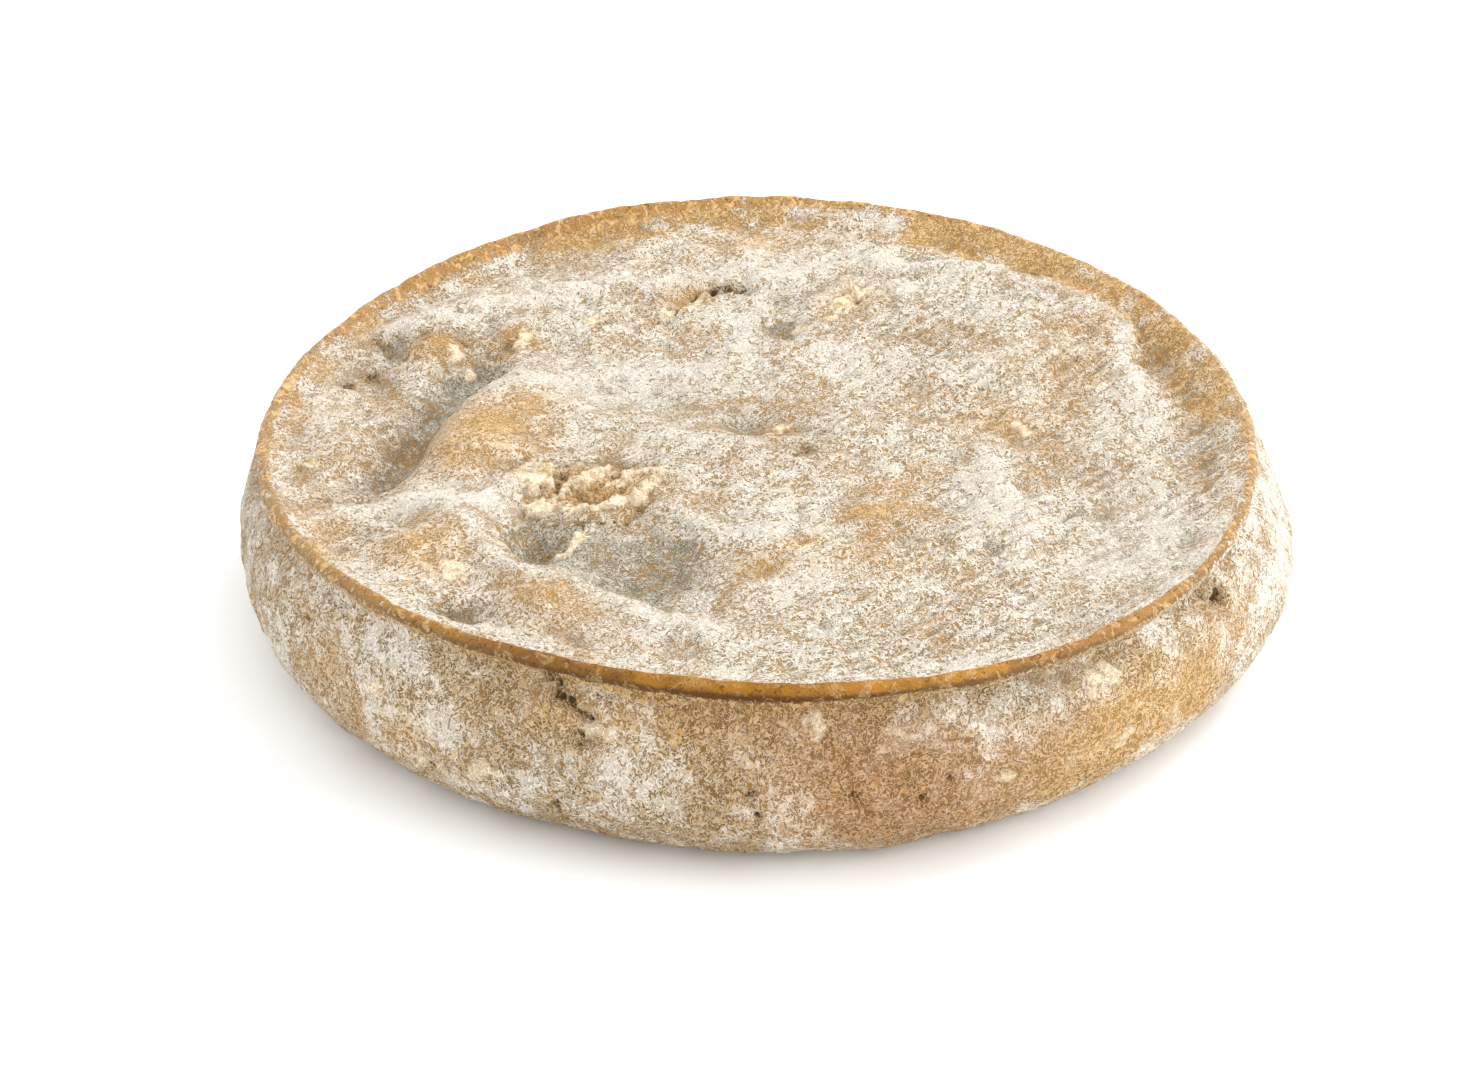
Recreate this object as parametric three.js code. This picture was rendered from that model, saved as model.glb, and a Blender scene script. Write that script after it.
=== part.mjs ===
// A semi-soft pressed cheese wheel with a natural mould rind.
// Millimetres, +Z up. The origin is the middle of the flat base, which is the face it rests on.
import * as THREE from 'three';

const BASE_RADIUS = 94;        // flat contact face
const BELLY_RADIUS = 108.9;    // widest ring, a little under half height
const BELLY_HEIGHT = 17;
const LIP_RADIUS = 101.9;      // crest of the thin raised lip
const WHEEL_HEIGHT = 40;       // base to lip crest
const LIP_RISE = 3.2;          // crest above the sunken top beside it
const TOP_SAG = 1.2;           // further drop from the lip's foot to the middle of the top
const LIP_WIDTH = 5;           // crest to the foot of the lip's inner face
const RELIEF_STARTS = 3;       // the top's lumps begin this far inside the crest
const RELIEF_FULL = 14;        // and reach their full height this far inside it

const ROUND_STEPS = 96;
const SIDE_STEPS = 16;
const BASE_RINGS = 3;
const TOP_RINGS = 18;

// The mould left the wheel slightly out of round. Each entry is a set of evenly spaced lobes:
// how many, how far they push out, and the bearing of the first one in degrees.
const LIP_LOBES = [
  { count: 1, push: 0.9, bearing: 180 },
  { count: 2, push: 1.4, bearing: -17 },
  { count: 3, push: 1.9, bearing: -41 },
  { count: 4, push: 0.6, bearing: 22 },
];
const BELLY_LOBES = [
  { count: 1, push: 2, bearing: -100 },
  { count: 2, push: 0.9, bearing: -20 },
  { count: 3, push: 2.2, bearing: -25 },
  { count: 4, push: 1.4, bearing: 6 },
];

// Round swellings and hollows on the top: middle, height (down is negative) and reach.
const MOUNDS = [
  { x: -58, y: -8, rise: 3.4, reach: 15 },
  { x: -72, y: 34, rise: 2.2, reach: 7 },
  { x: -66, y: -48, rise: 2.0, reach: 13 },
  { x: -38, y: -70, rise: 2.2, reach: 12 },
  { x: -42, y: -22, rise: 1.6, reach: 8 },
  { x: 55, y: 30, rise: 1.2, reach: 26 },
  { x: 45, y: -30, rise: 0.9, reach: 24 },
  { x: -10, y: 80, rise: 1.6, reach: 16 },
  { x: -45, y: -42, rise: -3.0, reach: 8 },
  { x: -22, y: -55, rise: -3.2, reach: 14 },
  { x: 8, y: 48, rise: -1.8, reach: 9 },
  { x: -18, y: 22, rise: -1.2, reach: 20 },
];

// Long folds and valleys on the top, each along a path with its height and half width.
const FOLDS = [
  { path: [[-60, 32], [-70, 16], [-77, -2], [-80, -15]], rise: -3.6, reach: 7 },
  { path: [[40, 72], [66, 60], [79, 44], [80, 6]], rise: 1.8, reach: 5 },
  { path: [[-86, 44], [-73, 50], [-58, 60]], rise: 1.4, reach: 5 },
  { path: [[46, -14], [51, -54]], rise: 1.0, reach: 6 },
  { path: [[92, 30], [96, 2]], rise: -1.2, reach: 6 },
];

const RIND_COLOUR = 0xd3c3a8;

function sideProfile() {
  // base edge, belly, the shallow groove under the lip, and the lip's outer face
  const outline = [
    [BASE_RADIUS, 0],
    [BASE_RADIUS + 6.8, 2.2],
    [BELLY_RADIUS - 3, 7.5],
    [BELLY_RADIUS - 0.6, 12.5],
    [BELLY_RADIUS, BELLY_HEIGHT],
    [BELLY_RADIUS - 1, 26],
    [BELLY_RADIUS - 3.5, 32.5],
    [LIP_RADIUS + 1.1, WHEEL_HEIGHT - 4],
    [LIP_RADIUS + 1, WHEEL_HEIGHT - 1.8],
    [LIP_RADIUS, WHEEL_HEIGHT],
  ];
  const curve = new THREE.SplineCurve(outline.map(([r, z]) => new THREE.Vector2(r, z)));
  return curve.getPoints(SIDE_STEPS);
}

function baseProfile() {
  const rings = [];
  for (let ring = 0; ring < BASE_RINGS; ring += 1) {
    rings.push(new THREE.Vector2((BASE_RADIUS * ring) / BASE_RINGS, 0));
  }
  return rings;
}

function topProfile() {
  // inner face of the lip, then rings down into the sunken top, ending on the axis
  const footHeight = WHEEL_HEIGHT - LIP_RISE;
  const footRadius = LIP_RADIUS - LIP_WIDTH;
  const rings = [
    new THREE.Vector2(LIP_RADIUS - 0.9, WHEEL_HEIGHT - 0.9),
    new THREE.Vector2(LIP_RADIUS - 2.4, WHEEL_HEIGHT - 2.2),
  ];
  for (let ring = 0; ring <= TOP_RINGS; ring += 1) {
    const radius = footRadius * (1 - ring / TOP_RINGS);
    const inward = 1 - radius / footRadius;
    rings.push(new THREE.Vector2(radius, footHeight - TOP_SAG * inward));
  }
  return rings;
}

function lobePush(lobes, bearing) {
  return lobes.reduce((sum, lobe) => {
    const first = THREE.MathUtils.degToRad(lobe.bearing);
    return sum + lobe.push * Math.cos(lobe.count * (bearing - first));
  }, 0);
}

function bell(distance, reach) {
  return Math.exp(-((distance / reach) ** 2));
}

function distanceToPath(x, y, path) {
  let nearest = Infinity;
  for (let i = 1; i < path.length; i += 1) {
    const [ax, ay] = path[i - 1];
    const [bx, by] = path[i];
    const length = (bx - ax) ** 2 + (by - ay) ** 2;
    const along = THREE.MathUtils.clamp(((x - ax) * (bx - ax) + (y - ay) * (by - ay)) / length, 0, 1);
    nearest = Math.min(nearest, Math.hypot(x - ax - along * (bx - ax), y - ay - along * (by - ay)));
  }
  return nearest;
}

function topRelief(x, y) {
  let rise = 0;
  for (const mound of MOUNDS) {
    rise += mound.rise * bell(Math.hypot(x - mound.x, y - mound.y), mound.reach);
  }
  for (const fold of FOLDS) {
    rise += fold.rise * bell(distanceToPath(x, y, fold.path), fold.reach);
  }
  return rise;
}

function shapeWheel(geometry) {
  const position = geometry.getAttribute('position');
  for (let i = 0; i < position.count; i += 1) {
    const x = position.getX(i);
    const y = position.getY(i);
    const z = position.getZ(i);
    const radius = Math.hypot(x, y);
    const bearing = Math.atan2(y, x);
    const towardsLip = THREE.MathUtils.smoothstep(z, BELLY_HEIGHT, WHEEL_HEIGHT - 5);
    const bellyPush = lobePush(BELLY_LOBES, bearing);
    const lipPush = lobePush(LIP_LOBES, bearing);
    const push = THREE.MathUtils.lerp(bellyPush, lipPush, towardsLip);
    const stretch = 1 + push / LIP_RADIUS;
    const inset = LIP_RADIUS - radius;
    const onTop = z > BELLY_HEIGHT ? THREE.MathUtils.smoothstep(inset, RELIEF_STARTS, RELIEF_FULL) : 0;
    position.setXYZ(i, x * stretch, y * stretch, z + onTop * topRelief(x, y));
  }
}

function centreOnBase(geometry) {
  geometry.computeBoundingBox();
  const middle = geometry.boundingBox.getCenter(new THREE.Vector3());
  geometry.translate(-middle.x, -middle.y, -geometry.boundingBox.min.z);
}

function cheeseWheel() {
  const profile = [...baseProfile(), ...sideProfile(), ...topProfile()];
  const geometry = new THREE.LatheGeometry(profile, ROUND_STEPS);
  geometry.rotateX(Math.PI / 2);
  shapeWheel(geometry);
  centreOnBase(geometry);
  geometry.computeVertexNormals();
  const rind = new THREE.MeshStandardMaterial({ color: RIND_COLOUR, roughness: 0.9, metalness: 0 });
  const wheel = new THREE.Mesh(geometry, rind);
  wheel.name = 'cheese_wheel';
  return wheel;
}

const model = new THREE.Group();
model.add(cheeseWheel());

export default model;
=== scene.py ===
# A pressed cheese wheel with a natural mould rind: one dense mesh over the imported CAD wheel.
# Shapes are worked out in millimetres and turned into metres when the mesh is made.
import math

import bpy
import numpy as np
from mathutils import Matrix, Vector, noise


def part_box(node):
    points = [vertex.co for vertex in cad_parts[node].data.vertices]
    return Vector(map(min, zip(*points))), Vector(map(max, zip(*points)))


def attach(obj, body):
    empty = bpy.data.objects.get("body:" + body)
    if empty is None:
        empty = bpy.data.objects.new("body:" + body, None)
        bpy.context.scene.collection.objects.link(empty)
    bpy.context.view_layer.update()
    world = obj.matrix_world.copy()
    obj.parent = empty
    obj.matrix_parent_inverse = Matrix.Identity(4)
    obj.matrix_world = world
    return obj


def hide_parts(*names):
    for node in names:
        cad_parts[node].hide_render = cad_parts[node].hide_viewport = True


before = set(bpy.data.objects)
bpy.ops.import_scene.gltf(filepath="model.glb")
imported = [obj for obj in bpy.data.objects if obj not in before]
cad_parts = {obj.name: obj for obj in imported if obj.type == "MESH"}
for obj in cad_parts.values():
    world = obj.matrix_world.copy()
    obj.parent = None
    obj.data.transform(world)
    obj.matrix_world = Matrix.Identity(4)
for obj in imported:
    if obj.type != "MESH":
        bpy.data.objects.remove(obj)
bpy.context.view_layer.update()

mm = 0.001
wheelLow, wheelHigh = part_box("cheese_wheel")
wheelWidth = (wheelHigh.x - wheelLow.x) / mm
wheelHeight = (wheelHigh.z - wheelLow.z) / mm
print("cad wheel is", round(wheelWidth, 1), "mm wide and", round(wheelHeight, 1), "mm high")

scene = bpy.context.scene


# camera, floor and lights

cameraView = {
    "aimHeight": 18 * mm,
    "distance": 745 * mm,
    "elevation": 31.9,
    "lens": 85,
    "sensor": 36,
    "shiftX": -0.0214,
    "shiftY": -0.0213,
    "farthest": 20,
}

studio = {
    "floorSize": 6.0,
    "floorColor": (0.95, 0.96, 0.97, 1),
    "floorRoughness": 0.95,
    "floorShine": 0.1,
    "skyColor": (1.0, 0.99, 0.975, 1),
    "skyStrength": 1.32,
    # name: where it stands, its size, its power and its colour
    "lamps": {
        "key": {"at": (0.7, 0.6, 1.35), "size": 0.9, "power": 11.5, "color": (1.0, 0.985, 0.96)},
        "side": {"at": (1.25, -0.4, 0.5), "size": 0.9, "power": 9, "color": (1.0, 0.99, 0.97)},
    },
}


def aimAt(thing, target):
    direction = Vector(target) - thing.location
    thing.rotation_euler = direction.to_track_quat("-Z", "Y").to_euler()


def addObject(name, data):
    thing = bpy.data.objects.new(name, data)
    scene.collection.objects.link(thing)
    return thing


def addCamera():
    data = bpy.data.cameras.new("camera")
    data.lens = cameraView["lens"]
    data.sensor_width = cameraView["sensor"]
    data.shift_x = cameraView["shiftX"]
    data.shift_y = cameraView["shiftY"]
    data.clip_end = cameraView["farthest"]
    camera = addObject("camera", data)
    tilt = math.radians(cameraView["elevation"])
    aim = Vector((0, 0, cameraView["aimHeight"]))
    camera.location = aim + cameraView["distance"] * Vector((0, -math.cos(tilt), math.sin(tilt)))
    aimAt(camera, aim)
    scene.camera = camera


def addFloor():
    half = studio["floorSize"] / 2
    data = bpy.data.meshes.new("floor")
    corners = [(-half, -half, 0), (half, -half, 0), (half, half, 0), (-half, half, 0)]
    data.from_pydata(corners, [], [(0, 1, 2, 3)])
    floor = addObject("floor", data)
    finish = bpy.data.materials.new("pale floor")
    finish.use_nodes = True
    shader = finish.node_tree.nodes["Principled BSDF"]
    shader.inputs["Base Color"].default_value = studio["floorColor"]
    shader.inputs["Roughness"].default_value = studio["floorRoughness"]
    shader.inputs["Specular IOR Level"].default_value = studio["floorShine"]
    data.materials.append(finish)


def addLights():
    world = bpy.data.worlds.new("studio")
    scene.world = world
    world.use_nodes = True
    sky = world.node_tree.nodes["Background"]
    sky.inputs["Color"].default_value = studio["skyColor"]
    sky.inputs["Strength"].default_value = studio["skyStrength"]
    for name, lamp in studio["lamps"].items():
        data = bpy.data.lights.new(name, "AREA")
        data.shape = "DISK"
        data.size = lamp["size"]
        data.energy = lamp["power"]
        data.color = lamp["color"]
        light = addObject(name, data)
        light.location = lamp["at"]
        aimAt(light, (0, 0, wheelHeight * mm / 2))


addCamera()
addFloor()
addLights()
scene.view_settings.view_transform = "Standard"
print("camera, floor and lights are in place")


# the wheel's shape

wheelForm = {
    "lipRadius": 0.4578 * wheelWidth,
    "bellyRadius": 0.4892 * wheelWidth,
    "baseRadius": 0.4223 * wheelWidth,
    "bellyHeight": 0.425 * wheelHeight,
    # lobes of the outline: how many, how far they push out, bearing of the first
    "lipLobes": [(1, 0.9, 180), (2, 1.4, -17), (3, 1.9, -41), (4, 0.6, 22)],
    "bellyLobes": [(1, 2.0, -100), (2, 0.9, -20), (3, 2.2, -25), (4, 1.4, 6)],
    # the side's lobes turn into the lip's this far under the crest
    "lobesMeet": 5,
    # the top sinks this much more between these distances from the crest
    "sag": 0.6,
    "sagFrom": 5,
    "sagTo": 60,
}

# what changes round the lip is given at these bearings
lipForm = {
    "bearings": [-150, -115, -90, -60, -30, 0, 40, 75, 110, 140, 170],
    # inner face: how deep the top sits, and over what run
    "drop": [3.2, 3.0, 2.6, 2.8, 3.4, 3.6, 3.2, 3.4, 5.0, 5.2, 3.8],
    "run": [4.5, 5.0, 5.5, 5.0, 4.0, 4.0, 4.5, 3.4, 2.8, 2.6, 3.4],
    # the groove outside: its depth, how far it lies under the crest and its half width
    "groove": [1.4, 1.2, 1.3, 2.3, 1.9, 1.4, 1.0, 0.8, 0.8, 1.0, 1.4],
    "grooveUnder": 4.6,
    "grooveWidth": 1.9,
    # how many millimetres of bare lip show inside and outside the crest
    "bareInside": [1.0, 0.8, 0.5, 0.5, 0.7, 1.2, 1.5, 2.2, 3.4, 3.4, 1.8],
    "bareOutside": [1.9, 2.9, 4.2, 2.2, 1.8, 2.0, 2.6, 2.6, 2.8, 2.8, 2.0],
    # how golden it is, how strong the browner band below it is, partly stain and partly painted shade under
    # the lip, and how much mould veils it
    "gold": [0.35, 0.05, 0.85, 0.6, 0.4, 0.5, 0.6, 0.7, 0.85, 0.6, 0.35],
    "stainAndShade": [0.35, 0.9, 0.8, 0.45, 0.15, 0.0, 0.3, 0.3, 0.4, 0.3, 0.2],
    "veil": [0.65, 0.1, 0.0, 0.25, 0.55, 0.9, 0.9, 0.7, 0.55, 0.55, 0.75],
    # how bare of mould the rind beside it is: on top, over what reach, and down the side
    "topRim": [0.3, 0.3, 0.1, 0.1, 0.2, 0.5, 0.7, 0.75, 0.7, 0.5, 0.3],
    "topRimReach": [5, 5, 4, 4, 5, 8, 11, 10, 8, 6, 6],
    "sideBare": [0.3, 0.55, 0.65, 0.42, 0.18, 0.05, 0.3, 0.4, 0.4, 0.35, 0.2],
    # the skin inside it is stretched into fine lines that follow it
    "skin": [0.5, 0.9, 0.8, 0.9, 0.5, 0.1, 0, 0, 0, 0, 0.2],
    "skinMiddle": 3.5,
    "skinReach": 3.5,
    "skinPitch": 1.9,
    "skinDepth": 0.28,
    # layers of unevenness: height, size of the largest feature, octaves and seed
    "waveFrom": (4, 0.5),  # it grows between these distances under the crest
    "wave": (0.5, 22, 3, 18),
    "ripple": (0.07, 3.4, 2, 19),
    "nick": (1, 7, 2, 20),
    "nickAbove": 0.48,
    "nickDepth": 1.6,
    "swellFrom": (6, 3),
    "swell": (0.3, 9, 3, 21),
    "lump": (0.22, 4, 2, 32),
    "drip": (0.6, 7, 3, 31),
}

meshSteps = {
    "across": 208,  # quads across the top; the rings outside it have four times as many
    "gridEdge": 3.2,  # the top's grid stops this far inside the lip's crest
    "lipInner": [2.5, 1.9, 1.4, 1.0, 0.65, 0.3],
    "sideRows": 52,
    "baseRings": [0.94, 0.88, 0.8, 0.62, 0.42, 0.2],
    "halvedRings": 3,  # so many of the base's rings have half the points of the one outside
    # the top's grid is drawn together round the torn places: x, y, reach and pull
    "closer": [(-37, -27, 21, 0.42), (20, 57, 11, 0.3)],
    "curveSteps": 40,
    "sinkPasses": 40,
    "facetedAbove": 0.25,  # torn places with more of the crumb mask than this are left faceted
}
quadsAcross = meshSteps["across"]
roundCount = 4 * quadsAcross
gridCount = (quadsAcross + 1) ** 2
topCount = gridCount + len(meshSteps["lipInner"]) * roundCount

sideOutline = [
    # how far out, and how high
    (wheelForm["baseRadius"], 0),
    (wheelForm["baseRadius"] + 6.8, 2.2),
    (wheelForm["bellyRadius"] - 3, 7.5),
    (wheelForm["bellyRadius"] - 0.6, 12.5),
    (wheelForm["bellyRadius"], wheelForm["bellyHeight"]),
    (wheelForm["bellyRadius"] - 1, 26),
    (wheelForm["bellyRadius"] - 3.4, 32.5),
    (wheelForm["lipRadius"] + 1.9, wheelHeight - 3.6),
    (wheelForm["lipRadius"] + 1.8, wheelHeight - 1.8),
    (wheelForm["lipRadius"] + 1.0, wheelHeight - 0.45),
    (wheelForm["lipRadius"], wheelHeight),
]


def smoothStep(value, start, end):
    share = np.clip((value - start) / (end - start), 0, 1)
    return share * share * (3 - 2 * share)


def bell(distance, reach):
    return np.exp(-(distance / reach) ** 2)


def lobePush(lobes, bearing):
    return sum(push * np.cos(count * (bearing - math.radians(first))) for count, push, first in lobes)


def lipRadiusAt(bearing):
    return wheelForm["lipRadius"] + lobePush(wheelForm["lipLobes"], bearing)


def roundTheLip(key, bearing):
    return np.interp(np.degrees(bearing), lipForm["bearings"], lipForm[key], period=360)


def rough(points, layer):
    # one layer of soft cloudy noise; each seed looks at another part of the same noise
    height, size, octaves, seed = layer
    offset = Vector((17.3 * seed + 5.1, 9.7 * seed - 3.3, 4.1 * seed + 1.7))
    return height * np.array([noise.fractal(Vector(p) + offset, 0.9, 2.0, octaves) for p in points / size])


def smoothCurve(points, count):
    # Catmull-Rom through the points, sampled at even steps along its length
    p = np.array(points, float)
    p = np.vstack([2 * p[0] - p[1], p, 2 * p[-1] - p[-2]])
    fine = []
    for a, b, c, d in zip(p[:-3], p[1:-2], p[2:-1], p[3:]):
        for t in np.linspace(0, 1, meshSteps["curveSteps"], endpoint=False):
            fine.append(0.5 * (2 * b + (c - a) * t + (2 * a - 5 * b + 4 * c - d) * t * t
                               + (3 * b - a - 3 * c + d) * t ** 3))
    fine.append(p[-2])
    fine = np.array(fine)
    length = np.concatenate([[0], np.cumsum(np.hypot(*np.diff(fine, axis=0).T))])
    even = np.linspace(0, length[-1], count + 1)
    return np.stack([np.interp(even, length, fine[:, i]) for i in range(2)], 1)


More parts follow.
